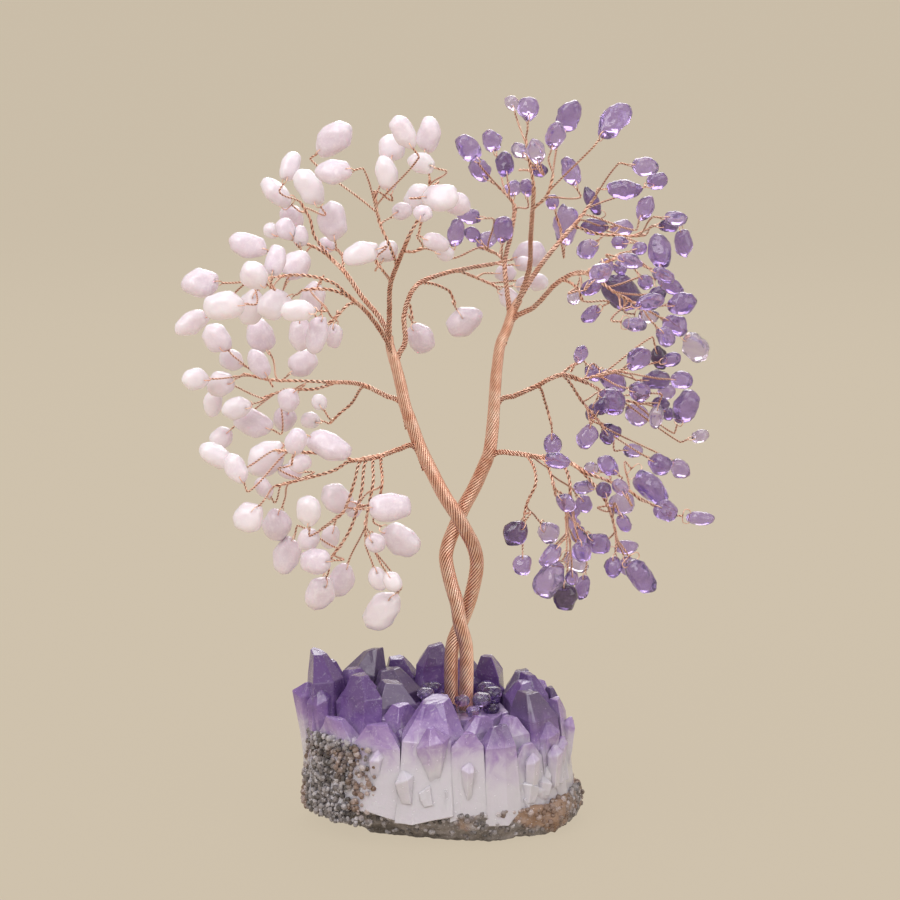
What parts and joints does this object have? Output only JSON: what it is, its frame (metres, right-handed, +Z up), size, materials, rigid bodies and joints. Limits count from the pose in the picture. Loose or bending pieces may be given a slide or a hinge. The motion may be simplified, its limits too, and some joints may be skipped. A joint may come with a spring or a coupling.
{
  "type": "gemstone tree ornament",
  "caption": "Wire tree ornament: twin twisted copper trunks with branching wires hold rose quartz and amethyst chips above a raw amethyst cluster base.",
  "frame": {"origin": "on the ground plane, in the flat underside of the rock, below the socket that holds the trunks", "axes": "+Z up the tree, +X to the amethyst tree, -Y to the viewer of the picture"},
  "size_m": [0.1446, 0.0677, 0.1984],
  "materials": {
    "rock": "rough, sparkling",
    "pale_quartz": "columnar, satin",
    "amethyst_cluster": "crystal faces",
    "glue": "clear set glue",
    "mixed_chips": "tumbled",
    "rose_quartz": "tumbled, milky",
    "amethyst": "tumbled, glassy",
    "copper_wire": "bare copper"
  },
  "bodies": {
    "cluster_and_trunks": {"rock_rind": "rock", "quartz_bed": "pale_quartz", "amethyst_points": "amethyst_cluster", "socket_glue": "glue", "foot_chips": "mixed_chips", "rose_trunk": "copper_wire", "amethyst_trunk": "copper_wire"},
    "rose_lower": {"rose_lower_chips": "rose_quartz", "rose_lower_sprays": "copper_wire", "rose_lower_stem": "copper_wire", "rose_lower_twigs": "copper_wire"},
    "rose_middle": {"rose_middle_chips": "rose_quartz", "rose_middle_sprays": "copper_wire", "rose_middle_stem": "copper_wire", "rose_middle_twigs": "copper_wire"},
    "rose_outer": {"rose_outer_chips": "rose_quartz", "rose_outer_sprays": "copper_wire", "rose_outer_stem": "copper_wire", "rose_outer_twigs": "copper_wire"},
    "rose_shoulder": {"rose_shoulder_chips": "rose_quartz", "rose_shoulder_sprays": "copper_wire", "rose_shoulder_stem": "copper_wire", "rose_shoulder_twigs": "copper_wire"},
    "rose_crown": {"rose_crown_chips": "rose_quartz", "rose_crown_sprays": "copper_wire", "rose_crown_stem": "copper_wire", "rose_crown_twigs": "copper_wire"},
    "rose_reach": {"rose_reach_chips": "rose_quartz", "rose_reach_sprays": "copper_wire", "rose_reach_stem": "copper_wire", "rose_reach_twigs": "copper_wire"},
    "amethyst_lower": {"amethyst_lower_chips": "amethyst", "amethyst_lower_sprays": "copper_wire", "amethyst_lower_stem": "copper_wire", "amethyst_lower_twigs": "copper_wire"},
    "amethyst_middle": {"amethyst_middle_chips": "amethyst", "amethyst_middle_sprays": "copper_wire", "amethyst_middle_stem": "copper_wire", "amethyst_middle_twigs": "copper_wire"},
    "amethyst_outer": {"amethyst_outer_chips": "amethyst", "amethyst_outer_sprays": "copper_wire", "amethyst_outer_stem": "copper_wire", "amethyst_outer_twigs": "copper_wire"},
    "amethyst_shoulder": {"amethyst_shoulder_chips": "amethyst", "amethyst_shoulder_sprays": "copper_wire", "amethyst_shoulder_stem": "copper_wire", "amethyst_shoulder_twigs": "copper_wire"},
    "amethyst_crown": {"amethyst_crown_chips": "amethyst", "amethyst_crown_sprays": "copper_wire", "amethyst_crown_stem": "copper_wire", "amethyst_crown_twigs": "copper_wire"},
    "amethyst_reach": {"amethyst_reach_chips": "amethyst", "amethyst_reach_sprays": "copper_wire", "amethyst_reach_stem": "copper_wire", "amethyst_reach_twigs": "copper_wire"}
  },
  "joints": [
    {"name": "rose_lower_bend", "type": "hinge", "parent": "cluster_and_trunks", "child": "rose_lower", "pos_m": [-0.01317, -0.00141, 0.10419], "axis": [0, 1, 0], "range_deg": [-10, 10]},
    {"name": "rose_middle_bend", "type": "hinge", "parent": "cluster_and_trunks", "child": "rose_middle", "pos_m": [-0.01702, 0.00153, 0.11599], "axis": [0, 1, 0], "range_deg": [-10, 10]},
    {"name": "rose_outer_bend", "type": "hinge", "parent": "cluster_and_trunks", "child": "rose_outer", "pos_m": [-0.0196, -0.00252, 0.13215], "axis": [0, 1, 0], "range_deg": [-10, 10]},
    {"name": "rose_shoulder_bend", "type": "hinge", "parent": "cluster_and_trunks", "child": "rose_shoulder", "pos_m": [-0.0197, 0.00138, 0.13471], "axis": [0, 1, 0], "range_deg": [-8, 8]},
    {"name": "rose_crown_bend", "type": "hinge", "parent": "cluster_and_trunks", "child": "rose_crown", "pos_m": [-0.01929, -0.00124, 0.13455], "axis": [0, 1, 0], "range_deg": [-8, 8]},
    {"name": "rose_reach_bend", "type": "hinge", "parent": "cluster_and_trunks", "child": "rose_reach", "pos_m": [-0.01654, 0.00167, 0.12864], "axis": [0, 1, 0], "range_deg": [-4, 8]},
    {"name": "amethyst_lower_bend", "type": "hinge", "parent": "cluster_and_trunks", "child": "amethyst_lower", "pos_m": [0.00987, -0.00139, 0.10218], "axis": [0, 1, 0], "range_deg": [-10, 10]},
    {"name": "amethyst_middle_bend", "type": "hinge", "parent": "cluster_and_trunks", "child": "amethyst_middle", "pos_m": [0.01068, 0.00128, 0.11622], "axis": [0, 1, 0], "range_deg": [-10, 10]},
    {"name": "amethyst_outer_bend", "type": "hinge", "parent": "cluster_and_trunks", "child": "amethyst_outer", "pos_m": [0.0153, -0.0015, 0.1397], "axis": [0, 1, 0], "range_deg": [-10, 10]},
    {"name": "amethyst_shoulder_bend", "type": "hinge", "parent": "cluster_and_trunks", "child": "amethyst_shoulder", "pos_m": [0.01573, 0.00129, 0.14439], "axis": [0, 1, 0], "range_deg": [-8, 8]},
    {"name": "amethyst_crown_bend", "type": "hinge", "parent": "cluster_and_trunks", "child": "amethyst_crown", "pos_m": [0.01556, -0.00122, 0.14444], "axis": [0, 1, 0], "range_deg": [-8, 8]},
    {"name": "amethyst_reach_bend", "type": "hinge", "parent": "cluster_and_trunks", "child": "amethyst_reach", "pos_m": [0.01253, 0.00175, 0.14271], "axis": [0, 1, 0], "range_deg": [-6, 8]}
  ]
}
